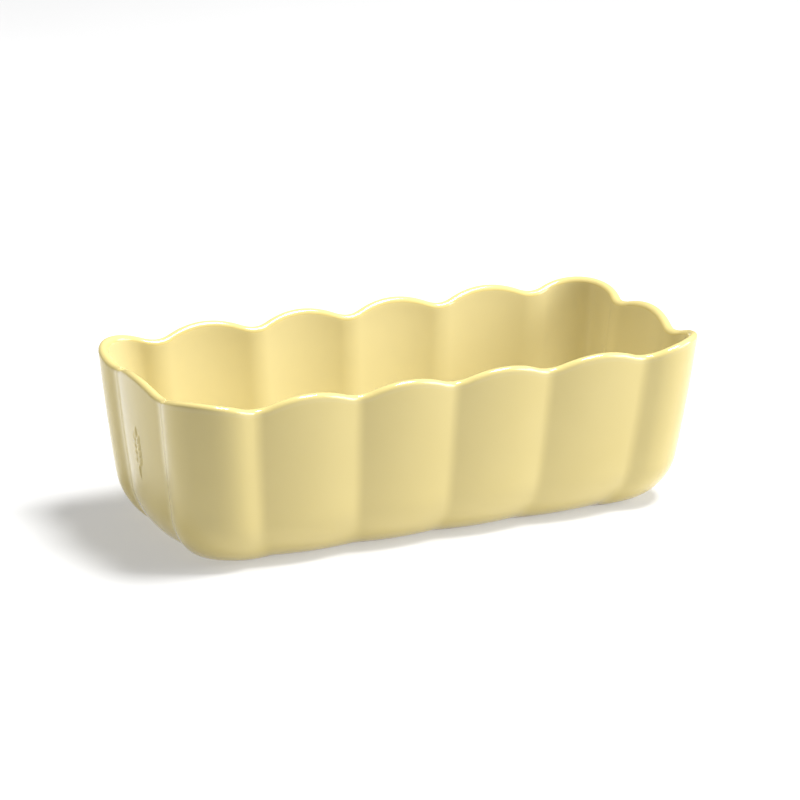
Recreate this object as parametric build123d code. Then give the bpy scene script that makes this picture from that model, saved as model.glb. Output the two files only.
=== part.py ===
from build123d import *
import math
import os

# Scalloped stoneware loaf dish, open at the top.
# Frame: +Z up, origin on the resting plane under the middle of the dish, X along the length, Y across.
# All sizes in millimetres. The wall is a ring of 14 lobes that meet at creases. The creases lie on a
# rounded rectangle in plan, which shrinks towards the base. The wall, the rim and the inside are lofts
# through outlines of that ring, and the glaze is the same form, one glaze thickness further out.

# ---- driving dimensions -------------------------------------------------------------------------
HALF_LENGTH = 147.1          # middle to the creases of the end walls, at the rim
HALF_WIDTH = 64.0            # middle to the creases of the long walls, at the rim
CORNER_RADIUS = 30.2         # plan radius of the corners that the creases lie on
INNER_LOBE = 53.6            # width of the two middle lobes of a long wall
OUTER_LOBE = 55.4            # width of the two outer lobes of a long wall
END_LOBE = 55.8              # width of the single lobe of an end wall

LONG_BULGE = 3.16            # how far a long-wall lobe swells past its creases
CORNER_BULGE = 3.9
END_BULGE = 2.9

RIM_DIP = 86.2               # rim height at the creases
LONG_CREST = 5.35            # rise of the rim at the middle of a long-wall lobe
CORNER_CREST = 5.4
END_CREST = 4.75

END_DRAFT = 11.2             # how far the end walls lean in from rim to table
LONG_DRAFT = 8.7             # the same for the long walls
DRAFT_BOW = -0.27            # hollow of the leaning walls, as a share of the draft
BASE_RADIUS = 17.1           # width of the rounding between wall and base
BASE_RADIUS_HEIGHT = 25.1    # height of that rounding

WALL = 5.0                   # wall with its glaze
FLOOR = 6.0                  # height of the inside floor above the table
INNER_RADIUS = 12.0          # width of the rounding between wall and floor inside
INNER_RADIUS_HEIGHT = 17.0   # height of that rounding

GLAZE = 0.4                  # thickness of the glaze
FOOT_HEIGHT = 0.5            # height of the upright bare edge of the foot, where the glaze stops
FOOT_WIDTH = 6.0             # width of the ring that touches the table
RECESS = 1.4                 # depth of the underside inside the foot ring

SPRIG_HEIGHT = 45.0          # height at which the grains of the relief meet its stem
SPRIG_RELIEF = 0.7           # how far the grains stand proud of the clay
GRAIN_LENGTH = 7.0
GRAIN_WIDTH = 3.4
GRAIN_PITCH = 3.7            # spacing of the pairs of grains up the ear
GRAIN_PAIRS = 4
GRAIN_LEAN = 32.0            # lean of a side grain away from the stem, degrees
GRAIN_OFFSET = 1.87          # middle of a side grain to the middle of the ear
STEM_LENGTH = 10.0
STEM_WIDTH = 1.4

ROUNDING_STEPS = 5           # outlines up a bottom rounding
WALL_STEPS = 8               # outlines up the wall
RIM_STEPS = 4                # outlines over the rim

# ---- plan of the wall ---------------------------------------------------------------------------
STRAIGHT_X = HALF_LENGTH - CORNER_RADIUS
STRAIGHT_Y = HALF_WIDTH - CORNER_RADIUS
CORNER_ARC = math.pi * CORNER_RADIUS / 2
HALF_PERIMETER = 2 * STRAIGHT_X + 2 * STRAIGHT_Y + 2 * CORNER_ARC
CORNER_LOBE = HALF_PERIMETER / 2 - INNER_LOBE - OUTER_LOBE - END_LOBE / 2
# Half of the ring of lobes, counter-clockwise from the middle of the front wall: width, bulge, crest.
HALF_RING = (
    (INNER_LOBE, LONG_BULGE, LONG_CREST),
    (OUTER_LOBE, LONG_BULGE, LONG_CREST),
    (CORNER_LOBE, CORNER_BULGE, CORNER_CREST),
    (END_LOBE, END_BULGE, END_CREST),
    (CORNER_LOBE, CORNER_BULGE, CORNER_CREST),
    (OUTER_LOBE, LONG_BULGE, LONG_CREST),
    (INNER_LOBE, LONG_BULGE, LONG_CREST),
)
# Where the spline of a lobe is held, as shares of its width: its creases, its shoulders and its middle.
LOBE_STATIONS = (0.0, 0.15, 0.5, 0.85, 1.0)


def between_ends(value, most):
    """The value, held between 0 and most."""
    return min(max(value, 0.0), most)


def crease_line(distance):
    """Point and outward normal on the rounded rectangle of the creases, from the middle of the front."""
    flip = 1 if distance < HALF_PERIMETER else -1
    along = distance if distance < HALF_PERIMETER else distance - HALF_PERIMETER
    end_wall = STRAIGHT_X + CORNER_ARC
    second_corner = end_wall + 2 * STRAIGHT_Y
    back_wall = second_corner + CORNER_ARC
    first_arc = between_ends(along - STRAIGHT_X, CORNER_ARC)
    second_arc = between_ends(along - second_corner, CORNER_ARC)
    turn = (first_arc + second_arc) / CORNER_RADIUS
    core_x = between_ends(along, STRAIGHT_X) - between_ends(along - back_wall, STRAIGHT_X)
    core_y = between_ends(along - end_wall, 2 * STRAIGHT_Y) - STRAIGHT_Y
    nx, ny = math.sin(turn), -math.cos(turn)
    return flip * (core_x + CORNER_RADIUS * nx), flip * (core_y + CORNER_RADIUS * ny), flip * nx, flip * ny


def lobes():
    """Start, width, bulge and crest of all 14 lobes, counter-clockwise."""
    start = 0.0
    for width, bulge, crest in HALF_RING + HALF_RING:
        yield start, width, bulge, crest
        start += width


def wall_point(distance, bulge, height, inward, rounded):
    """Point of the wall: leaned in and rounded off for its height, then moved in by inward."""
    x, y, nx, ny = crease_line(distance)
    fall = (RIM_DIP - height) / RIM_DIP
    lean = fall + DRAFT_BOW * fall * (1 - fall)
    scale_x = (HALF_LENGTH - END_DRAFT * lean - rounded) / HALF_LENGTH
    scale_y = (HALF_WIDTH - LONG_DRAFT * lean - rounded) / HALF_WIDTH
    return (x + bulge * nx) * scale_x - inward * nx, (y + bulge * ny) * scale_y - inward * ny, height


def outline(height, inward, rounded=0.0, crest_share=0.0):
    """Closed outline of the 14 lobes. With a crest share it rises over each lobe as the rim does."""
    edges = []
    for start, width, bulge, crest in lobes():
        points = []
        for share in LOBE_STATIONS:
            swell = 1 - (2 * share - 1) ** 2
            level = height + crest_share * crest * swell
            points.append(wall_point(start + share * width, bulge * swell, level, inward, rounded))
        edges.append(Spline(*points))
    return Wire(edges)


def rounding(height, radius, radius_height):
    """Inset at a height above the bottom of an elliptical rounding."""
    if height >= radius_height:
        return 0.0
    return radius * (1 - math.sqrt(1 - ((radius_height - height) / radius_height) ** 2))


def rounding_heights(radius_height, lowest, steps):
    """Heights spread evenly round a rounding, from its lowest used height to its top."""
    first_turn = math.asin((radius_height - lowest) / radius_height)
    return [radius_height * (1 - math.sin(first_turn * (1 - n / steps))) for n in range(steps + 1)]


def rounding_outlines(floor, radius, radius_height, lowest, inward):
    """Outlines up a bottom rounding, then on up the wall to the wavy line where the rim begins."""
    outlines = []
    for height in rounding_heights(radius_height, lowest, ROUNDING_STEPS):
        outlines.append(outline(floor + height, inward, rounding(height, radius, radius_height)))
    wall_foot = floor + radius_height
    wall_top = RIM_DIP - WALL / 2
    for step in range(1, WALL_STEPS + 1):
        share = step / WALL_STEPS
        height = wall_foot + (wall_top - wall_foot) * share
        outlines.append(outline(height, inward, 0.0, share**2))
    return outlines


def rim_outlines(skin):
    """Outlines over the half-round rim, from the outside of the wall to the inside."""
    outlines = []
    reach = WALL / 2 - skin
    for step in range(RIM_STEPS + 1):
        turn = math.pi * step / RIM_STEPS
        height = RIM_DIP - WALL / 2 + reach * math.sin(turn)
        outlines.append(outline(height, WALL / 2 - reach * math.cos(turn), 0.0, 1.0))
    return outlines


def wall_shell(skin):
    """Faces of the dish from the foot up over the rim and down to the inside floor, set back by skin."""
    outside = rounding_outlines(0.0, BASE_RADIUS, BASE_RADIUS_HEIGHT, FOOT_HEIGHT, skin)
    inside = rounding_outlines(FLOOR - skin, INNER_RADIUS, INNER_RADIUS_HEIGHT, 0.0, WALL - skin)
    faces = Shell.make_loft(outside).faces()
    faces += Shell.make_loft(rim_outlines(skin)).faces()
    faces += Shell.make_loft(inside).faces()
    return faces, outside[0], inside[0]


def recess_outline(height):
    """Outline of the underside recess, inside the foot ring."""
    rounded = rounding(FOOT_HEIGHT, BASE_RADIUS, BASE_RADIUS_HEIGHT)
    return outline(height, FOOT_WIDTH, rounded)


def between(lower, upper):
    """Upright faces between two matching outlines."""
    return Shell.make_loft([lower, upper], ruled=True).faces()


def foot_faces(foot_top):
    """Faces of the foot: its upright edge, the ring on the table, the recess wall and the recess ceiling."""
    foot_bottom = Wire(foot_top.moved(Location((0, 0, -FOOT_HEIGHT))).edges())
    recess_bottom = recess_outline(0.0)
    recess_top = recess_outline(RECESS)
    faces = between(foot_bottom, foot_top) + between(recess_bottom, recess_top)
    return faces + [Face(foot_bottom, [recess_bottom]), Face(recess_top)]


def make_body():
    """Fired clay: floor, fluted wall, rim and bare foot ring."""
    faces, foot_top, floor_edge = wall_shell(GLAZE)
    return Solid(Shell(faces + foot_faces(foot_top) + [Face(floor_edge)]))


def make_glaze():
    """Glaze over the outside, the rim and the inside, closed by a narrow edge where it stops at the foot."""
    outer_faces, outer_foot, outer_floor = wall_shell(0.0)
    inner_faces, inner_foot, inner_floor = wall_shell(GLAZE)
    edge = Face(outer_foot, [inner_foot])
    return Solid(Shell(outer_faces + inner_faces + [edge, Face(outer_floor), Face(inner_floor)]))


def make_underside_glaze():
    """Panel of glaze on the ceiling of the recess."""
    return extrude(Face(recess_outline(RECESS - GLAZE)), GLAZE, dir=(0, 0, 1))


def sprig_plane():
    """Plane on the clay at the middle of the left end wall: X to the right seen from outside, Y up."""
    middle = 1.5 * HALF_PERIMETER
    reach = STEM_LENGTH / 2
    upper = Vector(*wall_point(middle, END_BULGE, SPRIG_HEIGHT + reach, GLAZE, 0.0))
    lower = Vector(*wall_point(middle, END_BULGE, SPRIG_HEIGHT - reach, GLAZE, 0.0))
    across = Vector(0, -1, 0)
    return Plane(origin=(upper + lower) / 2, x_dir=across, z_dir=across.cross(upper - lower))


def grain(width, length, relief, x, y, lean):
    """One long rounded grain lying on the sprig plane."""
    form = scale(Sphere(1), by=(width / 2, length / 2, relief))
    return Pos(x, y, 0) * Rot(0, 0, lean) * form


def ear(grow):
    """Grains and stem of the relief, each grown all round by grow."""
    width, length, relief = GRAIN_WIDTH + 2 * grow, GRAIN_LENGTH + 2 * grow, SPRIG_RELIEF + grow
    pieces = [grain(width, length, relief, 0, GRAIN_PAIRS * GRAIN_PITCH, 0)]
    pieces.append(grain(STEM_WIDTH + 2 * grow, STEM_LENGTH + 2 * grow, relief, 0, -STEM_LENGTH / 2, 0))
    for pair in range(GRAIN_PAIRS):
        for side in (-1, 1):
            height = pair * GRAIN_PITCH
            pieces.append(grain(width, length, relief, side * GRAIN_OFFSET, height, -side * GRAIN_LEAN))
    return sprig_plane() * (Part() + pieces)


def make_sprig(body):
    """Relief of one wheat ear, luted onto the outside of the left end wall."""
    return ear(0.0) - body


def save(shape, node):
    """Write one node of the part."""
    shape.label = node
    export_step(shape, f"parts/{node}.step")


stoneware_body = make_body()
end_sprig = make_sprig(stoneware_body)
glaze_over_sprig = ear(GLAZE) - stoneware_body
glaze_coat = make_glaze() + glaze_over_sprig - end_sprig

os.makedirs("parts", exist_ok=True)
save(stoneware_body, "stoneware_body")
save(glaze_coat, "glaze_coat")
save(make_underside_glaze(), "underside_glaze")
save(end_sprig, "end_sprig")
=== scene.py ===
"""Looks of the scalloped loaf dish: clay, glaze and relief, with floor, lights and camera. Metres, +Z up.

The wall is a ring of 14 lobes that meet at creases. In plan the creases lie on a rounded rectangle, which
shrinks towards the base. Each mesh is a stack of rows of points that run round the dish, closed at both ends.
"""

import math

import bpy
import numpy as np
from mathutils import Matrix, Vector


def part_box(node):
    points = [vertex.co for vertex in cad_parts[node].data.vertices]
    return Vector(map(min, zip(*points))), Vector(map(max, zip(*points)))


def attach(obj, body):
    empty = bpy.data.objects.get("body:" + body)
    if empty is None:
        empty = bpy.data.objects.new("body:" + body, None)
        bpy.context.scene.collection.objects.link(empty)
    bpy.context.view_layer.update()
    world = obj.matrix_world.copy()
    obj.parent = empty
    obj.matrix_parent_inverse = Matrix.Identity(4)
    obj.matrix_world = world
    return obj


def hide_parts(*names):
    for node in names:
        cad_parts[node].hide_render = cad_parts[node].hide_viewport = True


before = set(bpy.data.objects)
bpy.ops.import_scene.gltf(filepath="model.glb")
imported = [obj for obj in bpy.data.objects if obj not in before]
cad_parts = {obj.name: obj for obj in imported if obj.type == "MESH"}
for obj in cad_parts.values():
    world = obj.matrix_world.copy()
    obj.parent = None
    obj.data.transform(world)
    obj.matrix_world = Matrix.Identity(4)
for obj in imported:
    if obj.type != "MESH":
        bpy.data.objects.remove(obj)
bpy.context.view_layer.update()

MM = 0.001

# ---- driving sizes, taken from the frame ----------------------------------------------------------
GLAZE_LOW, GLAZE_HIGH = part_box("glaze_coat")
CREST_LEAN = 0.3 * MM        # how far the crests of the rim lean out past its dips
LONG_BULGE = 3.16 * MM       # how far a lobe swells past its creases
CORNER_BULGE = 3.9 * MM
END_BULGE = 2.9 * MM
LONG_CREST = 5.35 * MM       # rise of the rim over a lobe
CORNER_CREST = 5.4 * MM
END_CREST = 4.75 * MM
HALF_LENGTH = GLAZE_HIGH.x - END_BULGE - CREST_LEAN
HALF_WIDTH = GLAZE_HIGH.y - LONG_BULGE - CREST_LEAN
RIM_DIP = GLAZE_HIGH.z - CORNER_CREST
FOOT_HEIGHT = GLAZE_LOW.z

CORNER_RADIUS = 30.2 * MM    # plan radius of the corners that the creases lie on
INNER_LOBE = 53.6 * MM       # width of the two middle lobes of a long wall
OUTER_LOBE = 55.4 * MM       # width of the two outer lobes of a long wall
END_LOBE = 55.8 * MM         # width of the single lobe of an end wall
CREASE_SOFTNESS = 0.056      # share of a lobe over which it rounds into a crease, outside
INSIDE_SOFTNESS = 0.11       # the same inside
DIP_SOFTNESS = 0.14          # the same for the dips of the rim

END_DRAFT = 11.2 * MM        # how far the end walls lean in from rim to table
LONG_DRAFT = 8.7 * MM        # the same for the long walls
DRAFT_BOW = -0.27            # hollow of the leaning walls, as a share of the draft
BASE_RADIUS = 17.1 * MM      # width of the rounding between wall and base
BASE_RADIUS_HEIGHT = 25.1 * MM
WALL = 5.0 * MM              # wall with its glaze
FLOOR = 6.0 * MM             # height of the inside floor
INNER_RADIUS = 12.0 * MM     # width of the rounding between wall and floor inside
INNER_RADIUS_HEIGHT = 17.0 * MM
GLAZE = 0.4 * MM
FOOT_WIDTH = 6.0 * MM        # width of the ring that touches the table
FOOT_EASE = 0.2 * MM         # rounding of its edges
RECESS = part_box("underside_glaze")[1].z
PANEL_EASE = 1.0 * MM        # width over which the glaze underneath thins out at its edge

STRAIGHT_X = HALF_LENGTH - CORNER_RADIUS
STRAIGHT_Y = HALF_WIDTH - CORNER_RADIUS
CORNER_ARC = math.pi * CORNER_RADIUS / 2
HALF_PERIMETER = 2 * STRAIGHT_X + 2 * STRAIGHT_Y + 2 * CORNER_ARC
CORNER_LOBE = HALF_PERIMETER / 2 - INNER_LOBE - OUTER_LOBE - END_LOBE / 2
# Half of the ring of lobes, counter-clockwise from the middle of the front wall: width, bulge, crest.
HALF_RING = (
    (INNER_LOBE, LONG_BULGE, LONG_CREST),
    (OUTER_LOBE, LONG_BULGE, LONG_CREST),
    (CORNER_LOBE, CORNER_BULGE, CORNER_CREST),
    (END_LOBE, END_BULGE, END_CREST),
    (CORNER_LOBE, CORNER_BULGE, CORNER_CREST),
    (OUTER_LOBE, LONG_BULGE, LONG_CREST),
    (INNER_LOBE, LONG_BULGE, LONG_CREST),
)
SPRIG_LOBE = 10              # the lobe of the left end wall, which carries the relief

# ---- relief ---------------------------------------------------------------------------------------
SPRIG_LOW, SPRIG_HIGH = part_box("end_sprig")
STEM_LENGTH = 10.0 * MM
STEM_WIDTH = 1.4 * MM
SPRIG_FOOT = SPRIG_LOW.z + STEM_LENGTH   # height at which the grains meet the stem
GRAIN_LENGTH = 7.0 * MM
GRAIN_WIDTH = 3.4 * MM
GRAIN_PITCH = 3.7 * MM       # spacing of the pairs of grains up the ear
GRAIN_PAIRS = 4
GRAIN_OFFSET = 1.87 * MM     # middle of a side grain to the middle of the ear
GRAIN_LEAN = 32.0            # degrees
RELIEF = 0.75 * MM           # height of a grain above the glaze round it
RELIEF_FULLNESS = 0.9        # below 1 a grain is fuller than a parabola
RELIEF_REACH = 6 * MM        # how far behind the plane of the relief its points may lie

# ---- fineness of the meshes -----------------------------------------------------------------------
LOBE_COLUMNS = 36
CROWDING = 0.6               # how much closer the columns stand at the creases
COLUMN_GAP = 0.01            # share of a lobe between its own columns and the fine ones
SPRIG_COLUMNS = 60           # fine columns over the relief
SPRIG_SHARE = 0.14           # half width of the fine columns, as a share of the lobe
SPRIG_ROW = 0.4 * MM         # spacing of the fine rows over the relief
OUTSIDE_STEPS = 26           # rows of the glaze up the base rounding
RIM_STEPS = 16               # rows over the rim
INSIDE_STEPS = 22            # rows down the inside rounding
INSIDE_WALL_STEPS = 40       # rows down the inside wall
FLOOR_STEPS = 10             # rows across the inside floor
BELOW_RELIEF_STEPS = 6       # outside rows of the wall below the fine ones
ABOVE_RELIEF_STEPS = 13      # and above them
HIDDEN_WALL_STEPS = 20       # rows of the walls under the glaze
HIDDEN_FLOOR_STEPS = 4
BACK_ROUNDING_STEPS = 12     # rows of the roundings on the back face of the glaze
BACK_RIM_STEPS = 8
CLAY_ROUNDING_STEPS = 16     # rows of the roundings of the clay
CLAY_RIM_STEPS = 10
PANEL_EDGE_STEPS = 6         # rows round the edge of the glaze underneath
PANEL_LOWER_STEPS = 6        # rows across its lower face
PANEL_UPPER_STEPS = 2


def crease_line(distance):
    """Points and outward normals on the rounded rectangle of the creases, from the middle of the front."""
    flip = np.where(distance < HALF_PERIMETER, 1.0, -1.0)
    along = np.mod(distance, HALF_PERIMETER)
    first_corner = STRAIGHT_X
    end_wall = first_corner + CORNER_ARC
    second_corner = end_wall + 2 * STRAIGHT_Y
    back_wall = second_corner + CORNER_ARC
    first_turn = np.clip((along - first_corner) / CORNER_RADIUS, 0, math.pi / 2)
    turn = first_turn + np.clip((along - second_corner) / CORNER_RADIUS, 0, math.pi / 2)
    core_x = np.clip(along, 0, STRAIGHT_X) - np.clip(along - back_wall, 0, STRAIGHT_X)
    core_y = np.clip(along - end_wall, 0, 2 * STRAIGHT_Y) - STRAIGHT_Y
    nx, ny = np.sin(turn), -np.cos(turn)
    return flip * (core_x + CORNER_RADIUS * nx), flip * (core_y + CORNER_RADIUS * ny), flip * nx, flip * ny


def swell(share, softness):
    """Rise of a lobe from 0 at its creases to 1 in its middle, rounded where it meets them."""
    near = np.minimum(share, 1 - share)
    return np.where(near < softness, 2 * near**2 / softness, 1 - 2 * (0.5 - near) ** 2 / (0.5 - softness))


def lobe_shares(number):
    """Where the columns of a lobe stand: closer together at the creases, and at the relief if it has one."""
    even = np.arange(LOBE_COLUMNS) / LOBE_COLUMNS
    shares = even - CROWDING * np.sin(2 * math.pi * even) / (2 * math.pi)
    if number != SPRIG_LOBE:
        return shares
    fine = 0.5 + SPRIG_SHARE * np.linspace(-1, 1, SPRIG_COLUMNS)
    before = shares[shares < fine[0] - COLUMN_GAP]
    after = shares[shares > fine[-1] + COLUMN_GAP]
    return np.concatenate([before, fine, after])


def ring_columns():
    """For each column round the dish: place on the crease line, bulge outside and inside, rise of the rim."""
    start, distance, bulge, inside_bulge, crest = 0.0, [], [], [], []
    for number, (width, lobe_bulge, lobe_crest) in enumerate(HALF_RING + HALF_RING):
        shares = lobe_shares(number)
        distance.append(start + shares * width)
        bulge.append(lobe_bulge * swell(shares, CREASE_SOFTNESS))
        crest.append(lobe_crest * swell(shares, DIP_SOFTNESS))
        inside_bulge.append(lobe_bulge * swell(shares, INSIDE_SOFTNESS))
        start += width
    return [np.concatenate(values) for values in (distance, bulge, inside_bulge, crest)]


DISTANCE, BULGE, INSIDE_BULGE, CREST = ring_columns()
LINE_X, LINE_Y, NORMAL_X, NORMAL_Y = crease_line(DISTANCE)


def wall_row(height, inward, rounded=0.0, crest_share=0.0):
    """One row of points round the dish at a height, which rises with the rim by a share of its crests."""
    depth = min(1.0, inward / WALL)
    bulge = BULGE + depth * (INSIDE_BULGE - BULGE)
    level = height + crest_share * CREST
    fall = (RIM_DIP - level) / RIM_DIP
    lean = fall + DRAFT_BOW * fall * (1 - fall)
    scale_x = (HALF_LENGTH - END_DRAFT * lean - rounded) / HALF_LENGTH
    scale_y = (HALF_WIDTH - LONG_DRAFT * lean - rounded) / HALF_WIDTH
    x = (LINE_X + bulge * NORMAL_X) * scale_x - inward * NORMAL_X
    y = (LINE_Y + bulge * NORMAL_Y) * scale_y - inward * NORMAL_Y
    return np.stack([x, y, level + 0 * x], axis=1)


def rounding(height, radius, radius_height):
    """Inset at a height above the bottom of an elliptical rounding."""
    sine = max(0.0, (radius_height - height) / radius_height)
    return radius * (1 - math.sqrt(1 - sine**2))


def rounding_rows(floor, radius, radius_height, lowest, inward, steps):
    """Rows up a bottom rounding, evenly turned."""
    first_turn = math.asin((radius_height - lowest) / radius_height)
    rows = []
    for step in range(steps):
        height = radius_height * (1 - math.sin(first_turn * (1 - step / steps)))
        rows.append(wall_row(floor + height, inward, rounding(height, radius, radius_height)))
    return rows


def wall_rows(foot, inward, heights):
    """Rows up the wall from the top of its rounding to where the rim begins."""
    top = RIM_DIP - WALL / 2
    rows = []
    for height in heights:
        share = (height - foot) / (top - foot)
        rows.append(wall_row(height, inward, 0.0, share**2))
    return rows


def rim_rows(skin, steps):
    """Rows over the half-round rim, from outside to inside."""
    rows = []
    reach = WALL / 2 - skin
    for step in range(steps + 1):
        turn = math.pi * step / steps
        height = RIM_DIP - WALL / 2 + reach * math.sin(turn)
        rows.append(wall_row(height, WALL / 2 - reach * math.cos(turn), 0.0, 1.0))
    return rows


def outside_rows(skin, steps, heights):
    """Rows of the outside, from the foot up to the rim."""
    rows = rounding_rows(0.0, BASE_RADIUS, BASE_RADIUS_HEIGHT, FOOT_HEIGHT, skin, steps)
    return rows + wall_rows(BASE_RADIUS_HEIGHT, skin, heights)


def inside_rows(skin, steps, wall_steps):
    """Rows of the inside, from the rim down to the edge of the floor."""
    foot = FLOOR - skin + INNER_RADIUS_HEIGHT
    heights = np.linspace(foot, RIM_DIP - WALL / 2, wall_steps + 1)[:-1]
    rows = rounding_rows(FLOOR - skin, INNER_RADIUS, INNER_RADIUS_HEIGHT, 0.0, WALL - skin, steps)
    return (rows + wall_rows(foot, WALL - skin, heights))[::-1]


def shrunk_rows(edge, shares):
    """Rows inside a flat edge row, shrunk towards its middle."""
    return [edge * np.array([share, share, 1.0]) for share in shares]


def ring_mesh(name, rows, first_middle, last_middle):
    """Closed mesh through rows of points, with a fan to a middle point at each end."""
    count = len(rows[0])
    points = [first_middle] + [tuple(p) for row in rows for p in row] + [last_middle]
    column = np.arange(count)
    following = (column + 1) % count
    faces = [(0, 1 + b, 1 + a) for a, b in zip(column, following)]
    for row in range(len(rows) - 1):
        low = 1 + row * count
        high = low + count
        faces += [(low + a, low + b, high + b, high + a) for a, b in zip(column, following)]
    last = 1 + (len(rows) - 1) * count
    faces += [(last + a, last + b, len(points) - 1) for a, b in zip(column, following)]
    mesh = bpy.data.meshes.new(name)
    mesh.from_pydata(points, [], [tuple(int(i) for i in face) for face in faces])
    mesh.update()
    mesh.polygons.foreach_set("use_smooth", [True] * len(mesh.polygons))
    piece = bpy.data.objects.new(name, mesh)
    bpy.context.scene.collection.objects.link(piece)
    return piece


# ---- relief on the left end wall ------------------------------------------------------------------
def sprig_axes():
    """Origin, across, up and outward of the plane that the relief lies on."""
    rise = STEM_LENGTH / 2
    ends = []
    for height in (SPRIG_FOOT - rise, SPRIG_FOOT + rise):
        fall = (RIM_DIP - height) / RIM_DIP
        lean = END_DRAFT * (fall + DRAFT_BOW * fall * (1 - fall))
        reach = (HALF_LENGTH + END_BULGE) * (HALF_LENGTH - lean) / HALF_LENGTH
        ends.append(Vector((-reach, 0, height)))
    up = (ends[1] - ends[0]).normalized()
    across = Vector((0, -1, 0))
    return (ends[0] + ends[1]) / 2, across, up, across.cross(up)


def grains():
    """Middle across and up, half width, half length and lean of each grain and of the stem."""
    found = [(0.0, GRAIN_PAIRS * GRAIN_PITCH, GRAIN_WIDTH / 2, GRAIN_LENGTH / 2, 0.0)]
    found.append((0.0, -STEM_LENGTH / 2, STEM_WIDTH / 2, STEM_LENGTH / 2, 0.0))
    for pair in range(GRAIN_PAIRS):
        for side in (-1, 1):
            place = (side * GRAIN_OFFSET, pair * GRAIN_PITCH)
            found.append((*place, GRAIN_WIDTH / 2, GRAIN_LENGTH / 2, -side * GRAIN_LEAN))
    return found


def relief_height(across, up):
    """Height of the glaze over the relief at places on its plane."""
    height = np.zeros_like(across)
    for x, y, half_width, half_length, lean in grains():
        turn = math.radians(lean)
        along_x = (across - x) * math.cos(turn) + (up - y) * math.sin(turn)
        along_y = (up - y) * math.cos(turn) - (across - x) * math.sin(turn)
        reach = (along_x / (half_width + GLAZE)) ** 2 + (along_y / (half_length + GLAZE)) ** 2
        height = np.maximum(height, RELIEF * np.clip(1 - reach, 0, 1) ** RELIEF_FULLNESS)
    return height


def add_relief(row):
    """The row with the points over the relief raised."""
    origin, across, up, out = sprig_axes()
    offset = row - np.array(origin)
    raised = relief_height(offset @ np.array(across), offset @ np.array(up))
    near = (offset @ np.array(out)) > -RELIEF_REACH
    return row + np.outer(raised * near, np.array(out))


# ---- the pieces -----------------------------------------------------------------------------------
def fine_heights():
    """Heights of the outside rows of the glaze, close together over the relief."""
    top = RIM_DIP - WALL / 2
    margin = 1 * MM
    low = SPRIG_LOW.z - margin
    high = SPRIG_HIGH.z + margin
    below = np.linspace(BASE_RADIUS_HEIGHT, low, BELOW_RELIEF_STEPS + 1)[:-1]
    over = np.arange(low, high, SPRIG_ROW)
    above = np.linspace(high, top, ABOVE_RELIEF_STEPS + 1)[:-1]
    return np.concatenate([below, over, above])


def plain_heights():
    """Heights of the outside rows of a wall that the glaze hides."""
    return np.linspace(BASE_RADIUS_HEIGHT, RIM_DIP - WALL / 2, HIDDEN_WALL_STEPS + 1)[:-1]


def floor_shares(steps):
    """Sizes of the rows across a floor, as shares of its edge."""
    return np.linspace(1, 0, steps + 1)[1:-1]


def make_glaze():
    """The glaze: a thin closed layer from the foot over the rim to the inside floor, and its back face."""
    back = outside_rows(GLAZE, BACK_ROUNDING_STEPS, plain_heights()) + rim_rows(GLAZE, BACK_RIM_STEPS)
    back += inside_rows(GLAZE, BACK_ROUNDING_STEPS, HIDDEN_WALL_STEPS)
    back += shrunk_rows(back[-1], floor_shares(HIDDEN_FLOOR_STEPS))
    front = [add_relief(row) for row in outside_rows(0.0, OUTSIDE_STEPS, fine_heights())]
    front += rim_rows(0.0, RIM_STEPS) + inside_rows(0.0, INSIDE_STEPS, INSIDE_WALL_STEPS)
    front += shrunk_rows(front[-1], floor_shares(FLOOR_STEPS))
    return ring_mesh("glaze_layer", back[::-1] + front, (0, 0, FLOOR - GLAZE), (0, 0, FLOOR))


def make_clay():
    """The clay: bare foot ring and recess below, and the walls and floor under the glaze."""
    rounded = rounding(FOOT_HEIGHT, BASE_RADIUS, BASE_RADIUS_HEIGHT)
    ring = [
        wall_row(RECESS, FOOT_WIDTH, rounded),
        wall_row(FOOT_EASE, FOOT_WIDTH, rounded),
        wall_row(0.0, FOOT_WIDTH - FOOT_EASE, rounded),
        wall_row(0.0, GLAZE + FOOT_EASE, rounded),
        wall_row(FOOT_EASE, GLAZE, rounded),
    ]
    walls = outside_rows(GLAZE, CLAY_ROUNDING_STEPS, plain_heights()) + rim_rows(GLAZE, CLAY_RIM_STEPS)
    walls += inside_rows(GLAZE, CLAY_ROUNDING_STEPS, HIDDEN_WALL_STEPS)
    walls += shrunk_rows(walls[-1], floor_shares(HIDDEN_FLOOR_STEPS))
    rows = shrunk_rows(ring[0], floor_shares(HIDDEN_FLOOR_STEPS))[::-1] + ring + walls
    return ring_mesh("clay_dish", rows, (0, 0, RECESS), (0, 0, FLOOR - GLAZE))


def make_underside():
    """Glaze inside the foot ring, rounded off where it meets the clay."""
    rounded = rounding(FOOT_HEIGHT, BASE_RADIUS, BASE_RADIUS_HEIGHT)
    edge = []
    for step in range(PANEL_EDGE_STEPS + 1):
        turn = math.pi / 2 * step / PANEL_EDGE_STEPS
        inset = FOOT_WIDTH + PANEL_EASE * (1 - math.sin(turn))
        edge.append(wall_row(RECESS - GLAZE * math.cos(turn), inset, rounded))
    lower = shrunk_rows(edge[0], floor_shares(PANEL_LOWER_STEPS))[::-1]
    upper = shrunk_rows(edge[-1], floor_shares(PANEL_UPPER_STEPS))
    return ring_mesh("underside_glaze_panel", lower + edge + upper, (0, 0, RECESS - GLAZE), (0, 0, RECESS))


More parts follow.
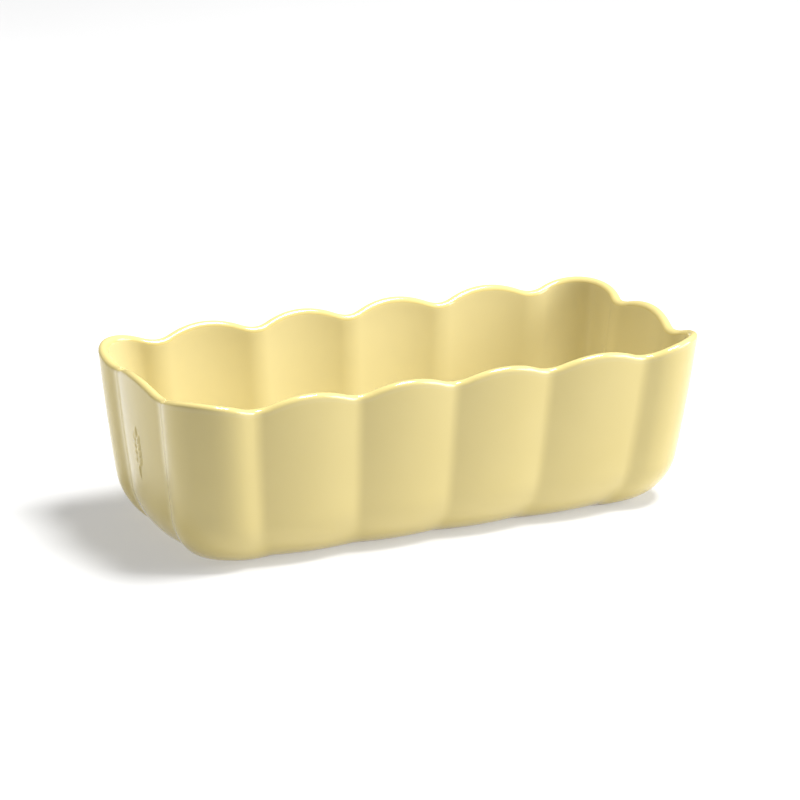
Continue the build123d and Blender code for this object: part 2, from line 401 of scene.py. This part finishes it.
# ---- materials ------------------------------------------------------------------------------------
OUTSIDE_COLOURS = (0.59, 0.482, 0.18), (0.61, 0.502, 0.195)
# Painted light: the rim copy of the glaze has colours between the outside and the paler inside, blending the
# painted light of the inside into the outside.
RIM_PAINTED_LIGHT_COLOURS = (0.59, 0.487, 0.195), (0.61, 0.507, 0.21)
# Painted light: the same glaze as outside, made paler and less saturated inside the dish to stand in for how
# light falls and bounces there.
INSIDE_PAINTED_LIGHT_COLOURS = (0.605, 0.525, 0.27), (0.625, 0.545, 0.285)
CLAY_STOPS = [(0.3, (0.46, 0.36, 0.23)), (0.55, (0.60, 0.49, 0.34)), (0.75, (0.68, 0.58, 0.43))]
TABLE_TONES = (0.46, 0.46, 0.46), (0.48, 0.48, 0.48)
GLAZE_ROUGHNESS = 0.08, 0.12
CLAY_ROUGHNESS = 0.75, 0.95
NOISE_LOW, NOISE_HIGH = 0.3, 0.7         # noise values at the two ends of a range of colour or roughness
WAVE_DEPTH = 0.06 * MM       # waviness of the glaze
GRAIN_DEPTH = 0.1 * MM       # roughness of the clay


def new_material(name):
    """A material with its node tree, Principled shader and object coordinates."""
    material = bpy.data.materials.new(name)
    material.use_nodes = True
    tree = material.node_tree
    shader = tree.nodes["Principled BSDF"]
    place = tree.nodes.new("ShaderNodeTexCoord")
    return material, tree, shader, place.outputs["Object"]


def noise(tree, place, scale, detail=2.0):
    """Noise value at a scale in features per metre."""
    node = tree.nodes.new("ShaderNodeTexNoise")
    node.inputs["Scale"].default_value = scale
    node.inputs["Detail"].default_value = detail
    tree.links.new(place, node.inputs["Vector"])
    return node.outputs["Fac"]


def ramp(tree, factor, stops):
    """Colour ramp through (position, colour) stops."""
    node = tree.nodes.new("ShaderNodeValToRGB")
    elements = node.color_ramp.elements
    elements[0].position, elements[0].color = stops[0][0], (*stops[0][1], 1)
    elements[1].position, elements[1].color = stops[-1][0], (*stops[-1][1], 1)
    for position, colour in stops[1:-1]:
        elements.new(position).color = (*colour, 1)
    tree.links.new(factor, node.inputs["Fac"])
    return node.outputs["Color"]


def spread(tree, factor, low, high):
    """A noise value spread between low and high."""
    node = tree.nodes.new("ShaderNodeMapRange")
    node.inputs["From Min"].default_value = NOISE_LOW
    node.inputs["From Max"].default_value = NOISE_HIGH
    node.inputs["To Min"].default_value = low
    node.inputs["To Max"].default_value = high
    tree.links.new(factor, node.inputs["Value"])
    return node.outputs["Result"]


def bump(tree, shader, height, distance):
    """Bump of a real depth in metres."""
    node = tree.nodes.new("ShaderNodeBump")
    node.inputs["Distance"].default_value = distance
    tree.links.new(height, node.inputs["Height"])
    tree.links.new(node.outputs["Normal"], shader.inputs["Normal"])


def glaze_material(name, thin, thick):
    """Glossy glaze, faintly cloudy between two colours, with the slight waviness of fired glass."""
    material, tree, shader, place = new_material(name)
    clouds = noise(tree, place, 22.0)
    smears = noise(tree, place, 60.0)
    waves = noise(tree, place, 55.0, 1.0)
    colour = ramp(tree, clouds, [(NOISE_LOW, thin), (NOISE_HIGH, thick)])
    tree.links.new(colour, shader.inputs["Base Color"])
    tree.links.new(spread(tree, smears, *GLAZE_ROUGHNESS), shader.inputs["Roughness"])
    shader.inputs["IOR"].default_value = 1.5
    shader.inputs["Coat Weight"].default_value = 0.3
    shader.inputs["Coat Roughness"].default_value = 0.03
    bump(tree, shader, waves, WAVE_DEPTH)
    return material


def clay_material():
    """Bare fired stoneware: buff, matt and finely grained."""
    material, tree, shader, place = new_material("fired_clay")
    grain = noise(tree, place, 900.0, 4.0)
    patches = noise(tree, place, 300.0)
    tree.links.new(ramp(tree, grain, CLAY_STOPS), shader.inputs["Base Color"])
    tree.links.new(spread(tree, patches, *CLAY_ROUGHNESS), shader.inputs["Roughness"])
    bump(tree, shader, grain, GRAIN_DEPTH)
    return material


def floor_material():
    """Plain white table top, faintly lit from within."""
    material, tree, shader, place = new_material("white_floor")
    stops = [(NOISE_LOW, TABLE_TONES[0]), (NOISE_HIGH, TABLE_TONES[1])]
    tone = ramp(tree, noise(tree, place, 3.0), stops)
    tree.links.new(tone, shader.inputs["Base Color"])
    shader.inputs["Roughness"].default_value = 0.9
    shader.inputs["Specular IOR Level"].default_value = 0.1
    shader.inputs["Emission Color"].default_value = (1, 1, 1, 1)
    shader.inputs["Emission Strength"].default_value = 0.2
    return material


# ---- floor, camera and lights ---------------------------------------------------------------------
MIDDLE = Vector((0.0002, 0.0, 0.0576))   # what the camera and the lights are aimed at
CAMERA_TURN = 26.66          # degrees that the camera stands to the left of straight on
CAMERA_RISE = 18.39          # degrees above the table
CAMERA_ROLL = 0.99           # degrees
CAMERA_DISTANCE = 2.104
CAMERA_LENS = 183.9          # on a 36 mm sensor
TABLE_SIZE = 2.5


def around(turn, rise, distance):
    """Point at a distance from the dish: turn in degrees from straight in front, positive to the left."""
    a, e = math.radians(turn), math.radians(rise)
    return MIDDLE + distance * Vector((-math.sin(a) * math.cos(e), -math.cos(a) * math.cos(e), math.sin(e)))


def aimed(place):
    """Rotation that aims a camera or lamp at the dish from a place."""
    return (MIDDLE - place).to_track_quat("-Z", "Y").to_matrix().to_4x4()


def make_camera():
    """Long lens from the front left, looking down on the dish at an angle."""
    data = bpy.data.cameras.new("camera")
    data.lens = CAMERA_LENS
    data.sensor_width = 36.0
    data.clip_start = 0.05
    camera = bpy.data.objects.new("camera", data)
    place = around(CAMERA_TURN, CAMERA_RISE, CAMERA_DISTANCE)
    roll = Matrix.Rotation(math.radians(CAMERA_ROLL), 4, "Z")
    camera.matrix_world = Matrix.Translation(place) @ aimed(place) @ roll
    bpy.context.scene.collection.objects.link(camera)
    bpy.context.scene.camera = camera


def make_floor():
    """Square table top under the dish."""
    half = TABLE_SIZE / 2
    mesh = bpy.data.meshes.new("floor")
    corners = [(-half, -half, 0), (half, -half, 0), (half, half, 0), (-half, half, 0)]
    mesh.from_pydata(corners, [], [(0, 1, 2, 3)])
    mesh.materials.append(floor_material())
    floor = bpy.data.objects.new("floor", mesh)
    bpy.context.scene.collection.objects.link(floor)


def softbox(name, turn, rise, distance, width, height, watts, mirrored=True, shadowed=True):
    """Area light aimed at the dish, with or without a reflection in the glaze and a shadow of its own."""
    data = bpy.data.lights.new(name, "AREA")
    data.shape = "RECTANGLE"
    data.size, data.size_y = width, height
    data.energy = watts
    data.use_shadow = shadowed
    lamp = bpy.data.objects.new(name, data)
    place = around(turn, rise, distance)
    lamp.matrix_world = Matrix.Translation(place) @ aimed(place)
    lamp.visible_glossy = mirrored
    lamp.visible_camera = False
    bpy.context.scene.collection.objects.link(lamp)


def make_world(strength):
    """Even light from all round, in front of a white backdrop."""
    world = bpy.data.worlds.new("studio")
    world.use_nodes = True
    tree = world.node_tree
    surround = tree.nodes["Background"]
    surround.inputs["Color"].default_value = (1, 1, 1, 1)
    surround.inputs["Strength"].default_value = strength
    backdrop = tree.nodes.new("ShaderNodeBackground")
    backdrop.inputs["Color"].default_value = (1, 1, 1, 1)
    backdrop.inputs["Strength"].default_value = 1.0
    mix = tree.nodes.new("ShaderNodeMixShader")
    tree.links.new(tree.nodes.new("ShaderNodeLightPath").outputs["Is Camera Ray"], mix.inputs[0])
    tree.links.new(surround.outputs[0], mix.inputs[1])
    tree.links.new(backdrop.outputs[0], mix.inputs[2])
    tree.links.new(mix.outputs[0], tree.nodes["World Output"].inputs["Surface"])
    bpy.context.scene.world = world


# ---- putting it together --------------------------------------------------------------------------
def dress(piece, material, node):
    """Gives a piece its material in a new slot and its body, and hides the CAD part that it stands in for."""
    piece.data.materials.append(material)
    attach(piece, "root")
    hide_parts(node)


def dress_band(piece, material, first_row):
    """Gives the faces from a row on, counted back from the last row, another material."""
    piece.data.materials.append(material)
    columns = len(DISTANCE)
    rows = len(piece.data.vertices) // columns
    for face in piece.data.polygons[columns * (rows - first_row):]:
        face.material_index = len(piece.data.materials) - 1


GLAZE_LOOK = glaze_material("butter_glaze", *OUTSIDE_COLOURS)
# Painted light: the rim copy of the glaze, between the outside colour and the paler inside.
RIM_PAINTED_LIGHT_LOOK = glaze_material("butter_glaze_rim_painted_light", *RIM_PAINTED_LIGHT_COLOURS)
# Painted light: the inside copy of the glaze, paler where light falls brighter inside the dish.
INSIDE_PAINTED_LIGHT_LOOK = glaze_material("butter_glaze_inside_painted_light", *INSIDE_PAINTED_LIGHT_COLOURS)
CLAY_LOOK = clay_material()
INSIDE_ROWS = INSIDE_STEPS + INSIDE_WALL_STEPS + FLOOR_STEPS - 1

glaze = make_glaze()
dress(glaze, GLAZE_LOOK, "glaze_coat")
# The rim band gets the in-between copy of the glaze, which carries painted light.
dress_band(glaze, RIM_PAINTED_LIGHT_LOOK, INSIDE_ROWS + RIM_STEPS + 1)
# The inside gets the paler copy of the glaze, which carries painted light.
dress_band(glaze, INSIDE_PAINTED_LIGHT_LOOK, INSIDE_ROWS)
dress(make_clay(), CLAY_LOOK, "stoneware_body")
dress(make_underside(), GLAZE_LOOK, "underside_glaze")
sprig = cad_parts["end_sprig"]
sprig.data.materials.clear()
sprig.data.materials.append(CLAY_LOOK)

make_camera()
make_floor()
make_world(0.12)
softbox("key", -63.0, 70.5, 2.6, 0.95, 0.95, 122.0)
softbox("right_box", -62.0, 20.0, 1.8, 1.2, 0.9, 27.0)
softbox("top_box", 180.0, 87.0, 1.8, 0.9, 0.8, 12.0, mirrored=False, shadowed=False)
softbox("left_fill", 140.0, 12.0, 1.8, 0.8, 0.8, 15.0, mirrored=False, shadowed=False)
bpy.context.scene.view_settings.view_transform = "Standard"
